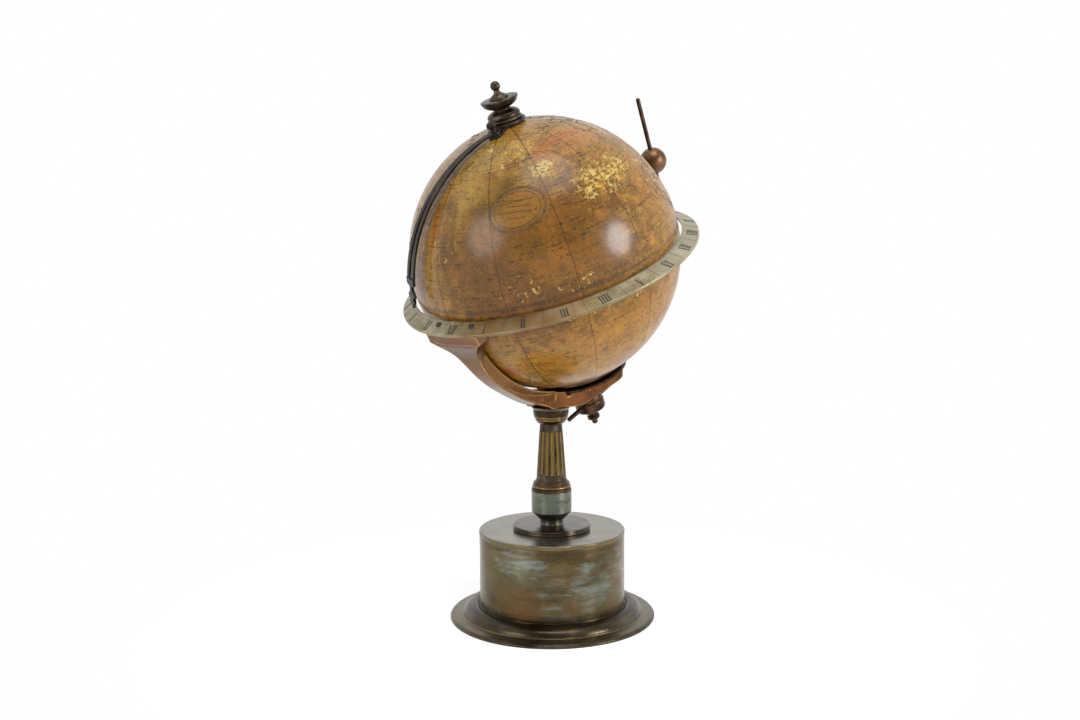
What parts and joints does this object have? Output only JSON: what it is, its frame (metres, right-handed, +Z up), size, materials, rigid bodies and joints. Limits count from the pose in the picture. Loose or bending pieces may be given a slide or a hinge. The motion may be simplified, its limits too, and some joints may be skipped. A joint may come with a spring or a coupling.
{
  "type": "globe clock",
  "caption": "Table clock with a printed globe that turns once a day in a fixed hour ring, driven from a movement in its drum base; hand, sun marker and setting knob",
  "frame": {"origin": "middle of the base's underside, on the axis of the column", "axes": "+Z up; the polar axis lies in the XZ plane and leans its north end 23.5 degrees towards -X; the side of the hand is -X"},
  "size_m": [0.1666, 0.173, 0.3024],
  "materials": {
    "aged_bronze": "aged, patinated",
    "drum_bronze": "blue-green and orange patina",
    "green_bronze": "verdigris",
    "copper_bronze": "polished casting",
    "ring_brass": "dull, engraved",
    "brass": "polished",
    "dark_bronze": "dark, satin",
    "steel": "fine ground",
    "blued_steel": "blued",
    "globe_paper": "printed and varnished",
    "hoop_card": "plain"
  },
  "bodies": {
    "stand": {"foot": "aged_bronze", "drum_shell": "drum_bronze", "drum_lid": "drum_bronze", "bottom_cover": "brass", "cover_screws": "steel", "socle": "aged_bronze", "collar": "green_bronze", "column_shaft": "aged_bronze", "capital": "aged_bronze", "column_tube": "brass", "tube_nut": "brass", "shaft_bushes": "brass", "cradle": "copper_bronze", "hour_ring": "ring_brass", "ring_screws": "aged_bronze", "pole_bush": "brass", "hairspring": "blued_steel", "balance_cock": "brass", "click_spring": "steel", "lower_plate": "brass", "upper_plate": "brass", "plate_pillars": "brass", "plate_screws": "blued_steel", "hanging_posts": "brass"},
    "day_wheel": {"globe_wheel": "dark_bronze", "clutch_spring": "steel"},
    "globe": {"globe_north": "globe_paper", "globe_south": "globe_paper", "joining_hoop": "hoop_card", "globe_axle": "steel", "north_collar": "brass", "south_dish": "dark_bronze", "south_knob": "dark_bronze", "knob_nut": "dark_bronze", "tommy_bar": "dark_bronze", "finial_bun": "dark_bronze", "finial_urn": "dark_bronze", "finial_cap": "dark_bronze"},
    "hand_plate": {"hand_plate": "dark_bronze"},
    "hand": {"hour_hand": "dark_bronze"},
    "thumb_screw": {"thumb_screw": "dark_bronze"},
    "marker": {"marker_clip": "dark_bronze", "marker_post": "dark_bronze", "marker_ball": "dark_bronze"},
    "centre_arbor": {"centre_arbor": "steel", "drive_pinion": "steel", "centre_wheel": "brass"},
    "third_wheel": {"third_wheel": "brass"},
    "fourth_wheel": {"fourth_wheel": "brass"},
    "escape_wheel": {"escape_wheel": "brass"},
    "lever": {"lever": "steel"},
    "balance": {"balance": "brass"},
    "barrel": {"barrel": "brass", "mainspring": "blued_steel"},
    "winding_arbor": {"winding_arbor": "steel", "ratchet_wheel": "steel"},
    "click": {"click": "steel"}
  },
  "joints": [
    {"name": "barrel_turn", "type": "hinge", "parent": "stand", "child": "barrel", "pos_m": [-0.018, 0, 0.025], "axis": [0, 0, 1], "continuous": true},
    {"name": "centre_turn", "type": "hinge", "parent": "stand", "child": "centre_arbor", "pos_m": [0, 0, 0.025], "axis": [0, 0, 1], "continuous": true},
    {"name": "third_turn", "type": "hinge", "parent": "stand", "child": "third_wheel", "pos_m": [0.01247, -0.0072, 0.025], "axis": [0, 0, 1], "continuous": true},
    {"name": "fourth_turn", "type": "hinge", "parent": "stand", "child": "fourth_wheel", "pos_m": [0.01842, 0.00311, 0.025], "axis": [0, 0, 1], "continuous": true},
    {"name": "escape_turn", "type": "hinge", "parent": "stand", "child": "escape_wheel", "pos_m": [0.01481, 0.01303, 0.025], "axis": [0, 0, 1], "continuous": true},
    {"name": "day_wheel_turn", "type": "hinge", "parent": "stand", "child": "day_wheel", "pos_m": [-0.004, 0, 0.2105], "axis": [-0.3987, 0, 0.9171], "continuous": true},
    {"name": "globe_set", "type": "hinge", "parent": "day_wheel", "child": "globe", "pos_m": [-0.004, 0, 0.2105], "axis": [-0.3987, 0, 0.9171], "continuous": true},
    {"name": "hand_turn", "type": "hinge", "parent": "globe", "child": "hand_plate", "pos_m": [-0.004, 0, 0.2105], "axis": [-0.3987, 0, 0.9171], "continuous": true},
    {"name": "hand_swing", "type": "hinge", "parent": "hand_plate", "child": "hand", "pos_m": [-0.004, 0, 0.2105], "axis": [-0.577, -0.0705, 0.8137], "range_deg": [-18, 102]},
    {"name": "thumb_screw_turn", "type": "hinge", "parent": "hand_plate", "child": "thumb_screw", "pos_m": [-0.004, 0, 0.2105], "axis": [-0.577, -0.0705, 0.8137], "continuous": true},
    {"name": "marker_slide", "type": "hinge", "parent": "stand", "child": "marker", "pos_m": [-0.004, 0, 0.2105], "axis": [-0.3987, 0, 0.9171], "range_deg": [-145, 174]},
    {"name": "lever_rock", "type": "hinge", "parent": "stand", "child": "lever", "pos_m": [0.00868, 0.01467, 0.025], "axis": [0, 0, 1], "range_deg": [-3, 3]},
    {"name": "balance_swing", "type": "hinge", "parent": "stand", "child": "balance", "pos_m": [0.00032, 0.01691, 0.0396], "axis": [0, 0, 1], "range_deg": [-270, 270], "stiffness_Nm_per_rad": 0.000012},
    {"name": "winding_turn", "type": "hinge", "parent": "stand", "child": "winding_arbor", "pos_m": [-0.018, 0, 0.025], "axis": [0, 0, 1], "continuous": true},
    {"name": "click_lift", "type": "hinge", "parent": "stand", "child": "click", "pos_m": [-0.01275, 0.00909, 0.0126], "axis": [0, 0, 1], "range_deg": [-12, 0], "stiffness_Nm_per_rad": 0.002, "springref_deg": 5.73}
  ],
  "couplings": [
    {"joint": "centre_turn", "follows": "barrel_turn", "ratio": -8},
    {"joint": "third_turn", "follows": "barrel_turn", "ratio": 64},
    {"joint": "fourth_turn", "follows": "barrel_turn", "ratio": -480},
    {"joint": "escape_turn", "follows": "barrel_turn", "ratio": 4800},
    {"joint": "day_wheel_turn", "follows": "barrel_turn", "ratio": 0.33333}
  ]
}
